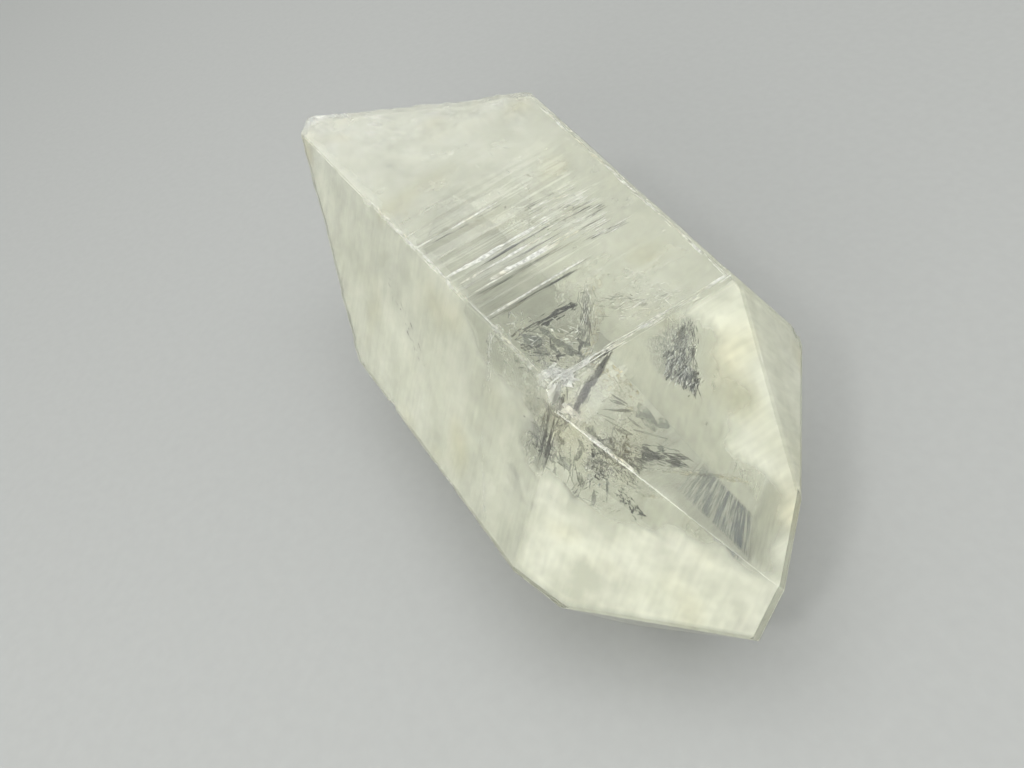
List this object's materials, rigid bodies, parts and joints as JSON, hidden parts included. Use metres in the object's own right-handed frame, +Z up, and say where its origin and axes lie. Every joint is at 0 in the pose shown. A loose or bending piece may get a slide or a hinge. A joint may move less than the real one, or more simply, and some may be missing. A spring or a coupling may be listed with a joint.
{
  "type": "quartz point",
  "caption": "Clear natural quartz crystal: six-sided prism with growth ledges, rhombohedral tip and a rough broken root, lying on one prism face",
  "frame": {"origin": "middle of the bounding box in plan, at the height of the prism face the crystal rests on", "axes": "+X along the crystal's long axis towards the tip, +Z up out of the resting face, +Y completes the right-handed frame"},
  "size_m": [0.1506, 0.0654, 0.053],
  "materials": {
    "quartz": "clear to milky natural crystal"
  },
  "bodies": {
    "root": {"quartz_point": "quartz"}
  },
  "joints": []
}
